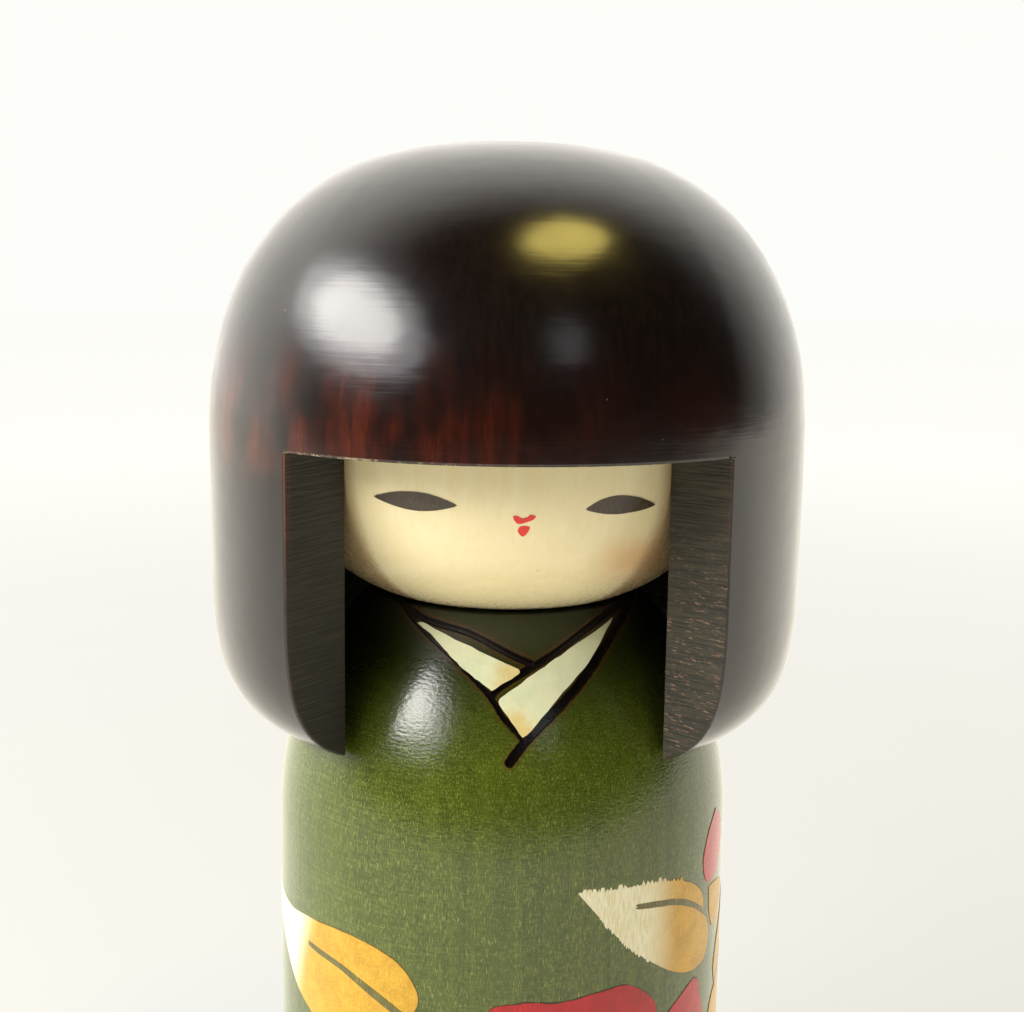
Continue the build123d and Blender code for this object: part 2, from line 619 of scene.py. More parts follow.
def grown(outline: Sequence[Point], distance: float) -> list[Point]:
    """The outline moved outwards.

    Args:
        outline: a closed outline.
        distance: how far, in its own units.

    Returns:
        The new outline.
    """
    neighbours = list(zip([outline[-1], *outline[:-1]], outline, [*outline[1:], outline[0]]))
    area = sum(here[0] * after[1] - after[0] * here[1] for _, here, after in neighbours)
    side = math.copysign(distance, area)
    result = []
    for before, here, after in neighbours:
        dx, dy = after[0] - before[0], after[1] - before[1]
        length = math.hypot(dx, dy) or 1.0
        result.append((here[0] + dy / length * side, here[1] - dx / length * side))
    return result


@dataclass
class PaintPatch:
    """One patch of paint: a closed outline laid on a turned form.

    The outline is in millimetres. Its piece also gets a plan map of the drawing, measured from origin in
    units of PLAN_UNIT millimetres, so that a finish can follow the drawing.
    """

    name: str
    outline: Sequence[Point]
    placing: Callable[[float, float, float], Vector]
    finish: bpy.types.Material
    body: Body
    slot: Slot
    origin: Point = (0.0, 0.0)
    lift: float = 0.06
    root: float = -0.02
    pitch: float = 1.2
    wobble: float = 0.05

    def build(self) -> bpy.types.Object:
        """Make the patch and let it ride on its body.

        Returns:
            The finished piece.
        """
        mesh = bmesh.new()
        mesh.faces.new([mesh.verts.new((x, y, self.root)) for x, y in self._wobbled()])
        for axis in (0, 1):
            self._cut_across(mesh, axis)
        bmesh.ops.triangulate(mesh, faces=[face for face in mesh.faces if len(face.verts) > 4])
        raised = bmesh.ops.extrude_face_region(mesh, geom=mesh.faces[:], use_keep_orig=True)["geom"]
        verts = [part for part in raised if isinstance(part, bmesh.types.BMVert)]
        bmesh.ops.translate(mesh, verts=verts, vec=(0, 0, self.lift - self.root))
        bmesh.ops.recalc_face_normals(mesh, faces=mesh.faces)
        self._write_plan(mesh)
        for vert in mesh.verts:
            vert.co = self.placing(*vert.co)
        return finish_piece(mesh, self.name, self.finish, self.body)

    def _wobbled(self) -> list[Point]:
        """The outline with the small unevenness of a hand."""
        result = []
        for x, y in self.outline:
            shift = noise.noise_vector(Vector((x * 0.9, y * 0.9, len(self.name))))
            result.append((x + shift.x * self.wobble, y + shift.y * self.wobble))
        return result

    def _cut_across(self, mesh: bmesh.types.BMesh, axis: int) -> None:
        """Slice the flat patch at even steps, so that it can bend.

        Args:
            mesh: the flat patch.
            axis: 0 slices along x, 1 along y.
        """
        values = [vert.co[axis] for vert in mesh.verts]
        low, high = min(values), max(values)
        count = max(1, math.ceil((high - low) / self.pitch))
        normal = Vector((1, 0, 0)) if axis == 0 else Vector((0, 1, 0))
        for step in range(1, count):
            geometry = mesh.verts[:] + mesh.edges[:] + mesh.faces[:]
            cut = normal * (low + (high - low) * step / count)
            bmesh.ops.bisect_plane(mesh, geom=geometry, dist=1e-5, plane_co=cut, plane_no=normal)

    def _write_plan(self, mesh: bmesh.types.BMesh) -> None:
        """Store the drawing as the plan map."""
        layer = mesh.loops.layers.uv.new("plan")
        for face in mesh.faces:
            for loop in face.loops:
                loop[layer].uv = (loop.vert.co.xy - Vector(self.origin)) / PLAN_UNIT


def finish_piece(mesh: bmesh.types.BMesh, name: str, finish: bpy.types.Material, body: Body) -> bpy.types.Object:
    """Turn a bmesh into a piece of the doll.

    Args:
        mesh: the mesh, in metres, in the doll's frame. It is freed.
        name: the piece's name.
        finish: its material.
        body: the rigid body it rides on.

    Returns:
        The new object.
    """
    mesh.normal_update()
    for face in mesh.faces:
        face.smooth = True
    for edge in mesh.edges:
        edge.smooth = edge.is_manifold and edge.calc_face_angle(0.0) < CREASE
    data = bpy.data.meshes.new(name)
    mesh.to_mesh(data)
    mesh.free()
    data.materials.append(finish)
    piece = bpy.data.objects.new(name, data)
    bpy.context.scene.collection.objects.link(piece)
    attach(piece, body.value)
    log.info("%s: %d faces", name, len(data.polygons))
    return piece


def dress_node(node: str, finish: bpy.types.Material) -> None:
    """Give a turned solid its finish.

    Args:
        node: the solid's name.
        finish: the material.
    """
    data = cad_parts[node].data
    data.materials.clear()
    data.materials.append(finish)
    log.info("%s dressed", node)


# --- finishes ---------------------------------------------------------------


@dataclass(frozen=True)
class HairLacquer:
    """Black-brown stain under gloss lacquer, with red wood showing by the fringe and matt sawn faces."""

    radius: float
    fringe_height: float
    bore_radius: float
    bore_top: float
    window_angle: float
    stain: Colour = srgb(13, 7, 6)
    stain_light: Colour = srgb(22, 12, 9)
    red_wood: Colour = srgb(78, 27, 10)
    red_ground: Colour = srgb(22, 7, 4)
    sawn: Colour = srgb(30, 28, 19)
    sawn_light: Colour = srgb(60, 56, 40)
    sawn_fibre: Colour = srgb(148, 112, 92)
    worn: Colour = srgb(150, 138, 104)
    worn_red: Colour = srgb(104, 56, 42)

    def material(self, effects: Effects) -> bpy.types.Material:
        """Build the hair's material."""
        dressed = Dressed("hair lacquer")
        graph, place = dressed.graph, dressed.place
        x, y, _ = graph.split(place)
        turned = graph.group(effects.turned, Place=place)
        sawn = self._sawn_mask(graph, turned)
        fibre = dressed.read(effects.fibre, Width=0.9, Length=14.0)
        rings = dressed.read(effects.rings, Pitch=0.45, Run=14.0)
        colour = graph.blend(graph.smooth(fibre, 0.35, 0.7), self.stain, self.stain_light)
        ground, patches = self._red_masks(graph, place, turned["Height"], x, y)
        colour = graph.blend(ground, colour, self.red_ground)
        colour = graph.blend(patches, colour, self.red_wood)
        colour = graph.blend(sawn, colour, self._sawn_colour(graph, place, turned, x))
        colour = self._worn_edges(graph, place, turned, x, colour)
        specks = dressed.read(effects.specks, Spacing=5.0, Size=0.13)
        colour = graph.blend(graph.times(specks, 0.35), colour, self.worn)
        lacquer = graph.minus(1.0, sawn)
        fine = graph.add(rings, graph.times(fibre, 0.3))
        normal = graph.bump(graph.times(fine, lacquer), 0.008)
        soft = dressed.read(effects.ripple, Size=3.0)
        soft = graph.add(soft, graph.times(specks, 0.3))
        normal = graph.bump(graph.times(soft, lacquer), 0.045, normal)
        normal = graph.bump(graph.times(self._saw_marks(graph, place), sawn), 0.22, normal)
        gloss = graph.smooth(graph.noise(place, 0.08, 2.0), 0.3, 0.7, 0.18, 0.23)
        dressed.set(Base_Color=colour, Normal=normal, IOR=1.55,
                    Roughness=graph.add(gloss, graph.times(sawn, 0.45)))
        return dressed.material

    def _sawn_mask(self, graph: Graph, turned: dict[str, Socket]) -> Socket:
        """1 on the window's cut faces, the fringe's underside and inside the bore."""
        off = graph.minus(graph.math("ABSOLUTE", turned["Angle"]), math.radians(self.window_angle))
        side = graph.fall(graph.times(off, turned["Radius"]), 0.05, 0.22)
        below = graph.fall(turned["Height"], self.fringe_height + 0.03, self.fringe_height + 0.2)
        inside = graph.fall(turned["Radius"], self.bore_radius + 0.05, self.bore_radius + 0.3)
        under = graph.fall(turned["Height"], self.bore_top, self.bore_top + 0.5)
        return graph.math("MAXIMUM", graph.times(side, below), graph.times(inside, under))

    def _red_masks(self, graph: Graph, place: Socket, height: Socket, x: Socket,
                   y: Socket) -> tuple[Socket, Socket]:
        """Where the stain is thin over the fringe, and where red wood shows through it in upright patches."""
        bands = graph.noise(graph.stretch(place, (0.7, 0.7, 0.07)), 1.0, 3.0, 0.6)
        bands = graph.smooth(bands, 0.3, 0.7, 0.3, 1.0)
        patches = graph.smooth(graph.noise(graph.stretch(place, (0.14, 0.14, 0.08))), 0.34, 0.66)
        grain = graph.smooth(graph.noise(graph.stretch(place, (3.0, 3.0, 0.6))), 0.3, 0.7, 0.7, 1.0)
        low = graph.smooth(height, self.fringe_height - 6.0, self.fringe_height + 1.0)
        high = graph.fall(height, self.fringe_height + 1.0, self.fringe_height + 18.0)
        front = graph.fall(y, -10.0, 12.0)
        zone = graph.times(low, high, front)
        side = graph.times(graph.smooth(x, -26.0, 16.0, 1.0, 0.15), 1.5)
        return graph.times(zone, 0.8), graph.times(bands, patches, zone, side, grain, clamp=True)

    def _saw_marks(self, graph: Graph, place: Socket) -> Socket:
        """Lines left by the saw, nearly level."""
        tilted = graph.node("VectorRotate", rotation_type="Y_AXIS")
        graph.feed(tilted.inputs["Vector"], place)
        tilted.inputs["Angle"].default_value = math.radians(4)
        return graph.noise(graph.stretch(tilted.outputs[0], (0.10, 0.10, 2.6)), 1.0, 3.0, 0.65)

    def _sawn_colour(self, graph: Graph, place: Socket, turned: dict[str, Socket], x: Socket) -> Socket:
        """Olive-grey stained end fibres, barer towards the doll's left; there the saw marks are also lighter,
        which is painted light on the cut face that the key light falls on.
        """
        # painted light: the saw marks lighten towards the doll's left, on the cut face that faces the key light
        side = graph.smooth(x, -5.0, 10.0, 0.0, 1.0)
        marks = graph.smooth(self._saw_marks(graph, place), 0.35, 0.7)
        marks = graph.times(marks, graph.add(graph.times(side, 0.5), 0.5))
        colour = graph.blend(marks, self.sawn, self.sawn_light)
        flecks = graph.noise(graph.stretch(place, (0.55, 0.55, 3.0), (7.0, 3.0, 1.0)), 1.0, 3.0, 0.7)
        flecks = graph.smooth(flecks, 0.56, 0.68)
        low = graph.smooth(turned["Height"], self.fringe_height - 6.0, self.fringe_height - 22.0)
        return graph.blend(graph.times(flecks, side, low, 0.75), colour, self.sawn_fibre)

    def _worn_edges(self, graph: Graph, place: Socket, turned: dict[str, Socket], x: Socket,
                    colour: Socket) -> Socket:
        """Rub the stain off the fringe's edge in dashes, and off the window's upright edges."""
        chipped = graph.smooth(graph.noise(place, 0.8, 3.0, 0.7), 0.5, 0.58)
        outer = graph.smooth(turned["Radius"], self.radius - 1.6, self.radius - 0.8)
        off = graph.minus(graph.math("ABSOLUTE", turned["Angle"]), math.radians(self.window_angle))
        off = graph.times(off, self.radius)
        side = graph.smooth(x, -24.0, 2.0, 1.0, 0.12)
        edge = graph.math("ABSOLUTE", graph.minus(turned["Height"], self.fringe_height + 0.12))
        along = graph.fall(edge, 0.12, 0.3)
        within = graph.fall(off, -0.3, 0.2)
        colour = graph.blend(graph.times(along, within, chipped, side, outer), colour, self.worn)
        upright = graph.fall(graph.math("ABSOLUTE", graph.minus(off, 0.15)), 0.05, 0.2)
        fringe = self.fringe_height
        near = graph.smooth(turned["Height"], fringe - 22.0, fringe - 4.0, 0.15, 1.0)
        below = graph.fall(turned["Height"], fringe, fringe + 0.3)
        side = graph.smooth(x, -10.0, 10.0, 0.8, 0.25)
        return graph.blend(graph.times(upright, below, near, outer, side), colour, self.worn_red)


@dataclass(frozen=True)
class CollarLine:
    """One burnt line of the collar, as (x, drop below the seat) points."""

    width: float
    points: tuple[Point, ...]


COLLAR_LINES = (
    CollarLine(0.8, ((-15.2, 0.0), (-11.7, 1.3), (-5.5, 2.3), (-0.6, 4.2), (3.7, 5.9))),
    CollarLine(0.85, ((18.0, 0.0), (12.7, 1.8), (6.6, 5.0), (3.0, 6.7), (-1.0, 8.9), (-1.9, 10.1))),
    CollarLine(0.62, ((-15.6, 0.0), (-13.1, 1.9), (-7.1, 5.8), (-2.2, 9.9), (-0.4, 12.4), (2.4, 15.2))),
    CollarLine(1.2, ((19.4, 0.0), (15.3, 3.9), (10.2, 9.3), (5.4, 13.4), (2.7, 15.9), (0.7, 18.4))),
)


@dataclass(frozen=True)
class BodyStain:
    """Moss green stain under gloss lacquer, with scorched wood along the burnt collar lines, and painted shade
    under the head.
    """

    form: BodyForm
    green: Colour = srgb(74, 88, 18)
    green_dark: Colour = srgb(44, 56, 8)
    green_light: Colour = srgb(118, 128, 54)
    green_fleck: Colour = srgb(156, 166, 84)
    # painted shade: the near-black green that the body's top turns to under the hair and chin
    green_shade_under_head: Colour = srgb(26, 30, 4)
    burnt: Colour = srgb(16, 8, 6)
    scorch: Colour = srgb(92, 46, 14)
    bare: Colour = srgb(214, 184, 138)
    bare_dark: Colour = srgb(176, 140, 94)

    def material(self, effects: Effects) -> bpy.types.Material:
        """Build the body's material."""
        seat = self.form.seat_height
        dressed = Dressed("body stain")
        graph, place = dressed.graph, dressed.place
        turned = graph.group(effects.turned, Place=place)
        upright = dressed.read(effects.fibre, Width=0.17, Length=0.9)
        level = dressed.read(effects.rings, Pitch=0.20, Run=1.5)
        broad = dressed.read(effects.fibre, Width=2.6, Length=55.0)
        cloud = graph.noise(place, 0.05)
        colour = graph.blend(graph.smooth(broad, 0.34, 0.66, 0.0, 0.4), self.green, self.green_dark)
        weave = graph.add(graph.times(upright, 0.62), graph.times(level, 0.38))
        # painted shade: the light weave fades out towards the seat, under the head
        shade_on_weave = graph.smooth(turned["Height"], seat - 13.0, seat - 3.0, 0.0, 0.6)
        soaked_minus_shade = graph.minus(graph.smooth(cloud, 0.3, 0.7, 0.68, 0.44), shade_on_weave, clamp=True)
        light = graph.times(graph.smooth(weave, 0.46, 0.66), soaked_minus_shade)
        colour = graph.blend(light, colour, self.green_light)
        colour = graph.blend(graph.smooth(weave, 0.34, 0.46, 0.5, 0.0), colour, self.green_dark)
        flecks = dressed.read(effects.fibre, Width=0.13, Length=1.0)
        flecks = graph.times(graph.smooth(flecks, 0.56, 0.7), soaked_minus_shade)
        colour = graph.blend(flecks, colour, self.green_fleck)
        lines = dressed.read(effects.fibre, Width=0.8, Length=140.0)
        colour = graph.blend(graph.smooth(lines, 0.58, 0.68, 0.0, 0.3), colour, self.green_dark)
        # painted shade: the body's top darkens towards the seat, under the hair and chin
        shade_under_head = graph.smooth(turned["Height"], seat - 22.0, seat - 1.0, 0.0, 0.92)
        colour = graph.blend(shade_under_head, colour, self.green_shade_under_head)
        scorch, burnt = self._collar(graph, effects, place)
        colour = graph.blend(graph.times(scorch, 0.5), colour, self.scorch)
        colour = graph.blend(burnt, colour, self.burnt)
        foot = graph.fall(turned["Height"], 0.05, 0.35)
        growth = graph.noise(graph.stretch(place, (0.5, 0.5, 0.5), (3.0, 9.0, 0.0)), 1.0, 3.0)
        colour = graph.blend(foot, colour, graph.blend(growth, self.bare_dark, self.bare))
        fine = graph.bump(graph.add(upright, level), 0.006)
        ripple = dressed.read(effects.ripple, Size=0.36)
        normal = graph.bump(ripple, 0.034, fine)
        broadly = dressed.read(effects.ripple, Size=4.0)
        normal = graph.bump(broadly, 0.06, normal)
        rough = graph.add(graph.smooth(cloud, 0.3, 0.7, 0.18, 0.22), graph.times(foot, 0.4))
        rough = graph.add(rough, graph.smooth(turned["Height"], seat - 8.0, seat - 1.0, 0.0, 0.3))
        dressed.set(Base_Color=colour, Roughness=rough, Normal=normal, IOR=1.55)
        return dressed.material

    def _collar(self, graph: Graph, effects: Effects, place: Socket) -> tuple[Socket, Socket]:
        """Masks of the scorched wood and of the burnt lines themselves."""
        uneven = graph.minus(graph.noise(place, 1.3, 2.0), 0.5)
        beyond: Socket | None = None
        for line in COLLAR_LINES:
            nearest: Socket | None = None
            path = curve_through(line.points, 2)
            for start, end in zip(path, path[1:]):
                ends = [(x, 0.0, self.form.seat_height - drop) for x, drop in (start, end)]
                distance = graph.group(effects.line, Place=place, From=ends[0], To=ends[1])["Distance"]
                nearest = distance if nearest is None else graph.math("MINIMUM", nearest, distance)
            past = graph.minus(nearest, line.width / 2)
            beyond = past if beyond is None else graph.math("MINIMUM", beyond, past)
        beyond = graph.add(beyond, graph.times(uneven, 0.3))
        front = graph.fall(graph.split(place)[1], -2.0, 0.0)
        scorch = graph.times(graph.fall(beyond, 0.0, 0.75), front)
        burnt = graph.times(graph.fall(beyond, 0.02, 0.2), front)
        return scorch, burnt


@dataclass(frozen=True)
class IvoryFace:
    """Ivory ground on pale wood under satin lacquer, with painted shade where the face meets the window's cut
    faces.
    """

    ivory: Colour = srgb(251, 238, 193)
    warm: Colour = srgb(243, 223, 168)
    blush: Colour = srgb(234, 160, 92)
    fleck: Colour = srgb(150, 118, 70)
    # painted shade: the brown the face turns to by the window's cut faces, where the hair shades it; it runs on
    # under the hair
    bare: Colour = srgb(152, 118, 74)
    window_angle: float = WINDOW_ANGLE
    cheek: Point = (19.0, 120.5)

    def material(self, effects: Effects) -> bpy.types.Material:
        """Build the face's material."""
        dressed = Dressed("ivory face")
        graph, place = dressed.graph, dressed.place
        fibre = dressed.read(effects.fibre, Width=0.9, Length=30.0)
        colour = graph.blend(graph.smooth(fibre, 0.3, 0.7, 0.0, 0.5), self.ivory, self.warm)
        colour = graph.blend(self._blush(graph, place), colour, self.blush)
        angle = graph.math("ABSOLUTE", graph.group(effects.turned, Place=place)["Angle"])
        # painted shade: the face darkens towards the window's cut faces, where the hair shades it
        start, end = math.radians(self.window_angle - 5.0), math.radians(self.window_angle + 1.0)
        colour = graph.blend(graph.smooth(angle, start, end, 0.0, 0.7), colour, self.bare)
        specks = dressed.read(effects.specks, Spacing=7.0, Size=0.2)
        colour = graph.blend(graph.times(specks, 0.55), colour, self.fleck)
        ripple = dressed.read(effects.ripple, Size=2.5)
        normal = graph.bump(ripple, 0.006)
        rough = graph.smooth(fibre, 0.2, 0.8, 0.24, 0.32)
        dressed.set(Base_Color=colour, Roughness=rough, Normal=normal)
        return dressed.material

    def _blush(self, graph: Graph, place: Socket) -> Socket:
        """A faint warm patch on the doll's left cheek."""
        x, y, z = graph.split(place)
        across = graph.fall(graph.math("ABSOLUTE", graph.minus(x, self.cheek[0])), 1.0, 9.0)
        up = graph.fall(graph.math("ABSOLUTE", graph.minus(z, self.cheek[1])), 0.5, 5.5)
        front = graph.fall(y, -8.0, -2.0)
        return graph.times(across, up, front, 0.45)


@dataclass(frozen=True)
class BareWood:
    """Plain turned maple, for the peg."""

    pale: Colour = srgb(222, 190, 142)
    dark: Colour = srgb(186, 146, 98)

    def material(self, effects: Effects) -> bpy.types.Material:
        """Build the peg's material."""
        dressed = Dressed("bare wood")
        graph, place = dressed.graph, dressed.place
        fibre = dressed.read(effects.fibre, Width=0.5, Length=12.0)
        rings = dressed.read(effects.rings, Pitch=0.4)
        colour = graph.blend(graph.smooth(fibre, 0.3, 0.7), self.pale, self.dark)
        normal = graph.bump(graph.add(fibre, rings), 0.03)
        rough = graph.smooth(fibre, 0.2, 0.8, 0.55, 0.7)
        dressed.set(Base_Color=colour, Roughness=rough, Normal=normal)
        return dressed.material


@dataclass(frozen=True)
class Paint:
    """Opaque colour under lacquer, with the upright grain showing through it a little."""

    name: str
    colour: Colour
    deep: Colour
    light: Colour
    mottle: float = 0.5
    fleck: float = 0.35
    roughness: float = 0.2
    metal: float = 0.0

    def material(self, effects: Effects) -> bpy.types.Material:
        """Build the paint's material."""
        dressed = Dressed(self.name)
        graph, place = dressed.graph, dressed.place
        plan = graph.stretch(graph.node("UVMap", uv_map="plan").outputs[0], (PLAN_UNIT, PLAN_UNIT, 1.0))
        fibre = dressed.read(effects.fibre, Width=0.3, Length=1.8)
        colour = self.shade(graph, place, plan, fibre)
        ripple = dressed.read(effects.ripple, Size=0.6)
        normal = graph.bump(graph.add(ripple, graph.times(fibre, 0.3)), 0.016)
        rough = graph.smooth(fibre, 0.3, 0.7, self.roughness, self.roughness + 0.08)
        dressed.set(Base_Color=colour, Roughness=rough, Normal=normal, Metallic=self.metal, IOR=1.5)
        return dressed.material

    def shade(self, graph: Graph, place: Socket, plan: Socket, fibre: Socket) -> Socket:
        """Wire the colour.

        Args:
            graph: the material's graph.
            place: where a point is on the doll, in millimetres.
            plan: where it is on the drawing, in millimetres.
            fibre: the wood's grain under the paint.

        Returns:
            The colour.
        """
        patches = graph.smooth(graph.noise(place, 0.35, 3.0), 0.35, 0.68, 0.0, self.mottle)
        colour = graph.blend(patches, self.colour, self.deep)
        return graph.blend(graph.smooth(fibre, 0.52, 0.7, 0.0, self.fleck), colour, self.light)


@dataclass(frozen=True)
class LeafPaint(Paint):
    """Gold powder paint, over which white is brushed from the leaf's tip."""

    white: Colour = srgb(244, 240, 217)
    white_deep: Colour = srgb(224, 216, 176)
    white_end: float = 15.0
    fade: float = 5.0
    lean: float = 0.0
    side: float = 1.0

    def shade(self, graph: Graph, place: Socket, plan: Socket, fibre: Socket) -> Socket:
        """Wire the colour, as Paint does, with glitter and the white tip."""
        gold = super().shade(graph, place, plan, fibre)
        glitter = graph.noise(place, 3.6, 2.0, 0.7)
        gold = graph.blend(graph.smooth(glitter, 0.5, 0.72, 0.0, 0.6), gold, self.light)
        gold = graph.blend(graph.smooth(glitter, 0.28, 0.46, 0.45, 0.0), gold, self.deep)
        along, up, _ = graph.split(plan)
        ragged = graph.times(graph.minus(fibre, 0.5), 4.0)
        along = graph.add(graph.times(along, self.side), ragged)
        along = graph.add(along, graph.times(up, self.lean))
        bare = graph.smooth(along, self.white_end, self.white_end + self.fade)
        white = graph.blend(graph.smooth(fibre, 0.35, 0.65), self.white_deep, self.white)
        return graph.blend(bare, white, gold)


@dataclass(frozen=True)
class CollarPaint(Paint):
    """Mint cream, browned where it runs into the lower corner, at the drawing's origin."""

    ochre: Colour = srgb(232, 206, 132)
    corner: float = 5.0

    def shade(self, graph: Graph, place: Socket, plan: Socket, fibre: Socket) -> Socket:
        """Wire the colour, as Paint does, with the browned corner."""
        colour = super().shade(graph, place, plan, fibre)
        x, y, _ = graph.split(plan)
        reach = graph.add(graph.reach(x, y), graph.times(graph.noise(place, 0.8, 2.0), 4.0))
        browned = graph.smooth(reach, self.corner * 0.6, self.corner + 1.5, 0.85, 0.0)
        return graph.blend(browned, colour, self.ochre)


@dataclass(frozen=True)
class PetalPaint(Paint):
    """Red, streaked from the flower's middle, at the drawing's origin."""

    def shade(self, graph: Graph, place: Socket, plan: Socket, fibre: Socket) -> Socket:
        """Wire the colour, as Paint does, with streaks that run out from the middle."""
        colour = super().shade(graph, place, plan, fibre)
        x, y, _ = graph.split(plan)
        reach = graph.reach(x, y)
        turn = graph.times(graph.math("ARCTAN2", y, x), 9.0)
        streaks = graph.noise(graph.join(turn, graph.times(reach, 0.08), 0.0), 1.0, 3.0, 0.6)
        colour = graph.blend(graph.smooth(streaks, 0.45, 0.7, 0.0, 0.45), colour, self.deep)
        return graph.blend(graph.smooth(reach, 4.0, 11.0, 0.6, 0.0), colour, self.deep)


# --- the doll's parts -------------------------------------------------------


INK_BROWN = Paint("ink brown", srgb(62, 40, 18), srgb(40, 24, 10), srgb(96, 66, 34), fleck=0.5)
VEIN_GREEN = Paint("vein green", srgb(104, 98, 44), srgb(64, 62, 22), srgb(140, 132, 76), fleck=0.5)
GOLD = {"colour": srgb(206, 158, 38), "deep": srgb(174, 126, 22), "light": srgb(234, 194, 74),
        "roughness": 0.3}
RIM_BROWN = {"colour": srgb(120, 84, 34), "deep": srgb(92, 60, 24), "light": srgb(150, 112, 56)}


@dataclass(frozen=True)
class Leaf:
    """A painted leaf, as (arc, height) strokes that run from its tip round two lobes and back."""

    name: str
    upper: Stroke
    lobe: Stroke
    under: Stroke
    vein: tuple[Stroke, Stroke]
    paint: LeafPaint
    teeth: tuple[float, float]
    seed: int

    def outline(self) -> list[Point]:
        """The leaf's closed outline, with the teeth of its brushed edges."""
        upper = bristled(self.upper, self.teeth[0], 0.6, (0.02, 0.62), self.seed)
        under = bristled(self.under, -self.teeth[1], 0.7, (0.02, 0.7), self.seed + 1)
        return joined(upper, curve_through(self.lobe), under)


LEAVES = (
    Leaf("leaf_right",
         upper=((-52, 64.6), (-46, 63.4), (-40, 63.1), (-32, 64.2), (-23, 64.5), (-16, 62.7), (-12.6, 59),
                (-12.5, 56), (-14.2, 54.2)),
         lobe=((-14.2, 54.2), (-11.4, 51), (-11.6, 46), (-16.5, 42.3), (-24, 43), (-33.5, 49)),
         under=((-33.5, 49), (-38, 51), (-42, 54), (-47.5, 58.8), (-52, 64.6)),
         vein=(((-33.9, 59.8), (-33.5, 60.2), (-26, 59.5), (-19.5, 57.4), (-13.9, 54.7)),
               ((-14.4, 53.6), (-20, 56.2), (-26, 58.5), (-33.5, 59.4), (-33.9, 59.8))),
         paint=LeafPaint("leaf gold right", **GOLD, white_end=15.0, fade=6.0, lean=-0.35),
         teeth=(0.0, 0.0), seed=3),
    Leaf("leaf_left",
         upper=((11, 74), (15, 73.6), (22, 73.2), (28, 72.2), (33, 70.3), (36.6, 67.2), (37, 64)),
         lobe=((37, 64), (38.8, 62.2), (39.5, 59.5), (38, 56.5), (34, 56), (29, 57.6), (24, 60.8)),
         under=((24, 60.8), (19, 64.8), (14.5, 69.8), (11, 74)),
         vein=(((20.7, 70.2), (21, 70.6), (28, 69.5), (33, 67.5), (37.1, 64.9)),
               ((37.1, 63.9), (33, 66.5), (28, 68.5), (21, 69.8), (20.7, 70.2))),
         paint=LeafPaint("leaf gold left", **GOLD, white_end=11.0, fade=8.0),
         teeth=(0.8, 0.6), seed=11),
    Leaf("leaf_side",
         upper=((75, 66), (65, 66.6), (55, 64), (47, 58.5), (43.6, 53), (44.6, 49)),
         lobe=((44.6, 49), (41.6, 46.5), (41, 41), (45, 37.4), (52, 38), (61, 44)),
         under=((61, 44), (69, 53), (75, 66)),
         vein=(((62, 58), (55, 55.6), (49, 52.4), (44.4, 49.8)),
               ((44.9, 48.4), (49.5, 51.2), (55, 54.6), (62, 58))),
         paint=LeafPaint("leaf gold side", **GOLD, white_end=14.0, fade=5.0, side=-1.0),
         teeth=(0.6, 0.4), seed=17),
)


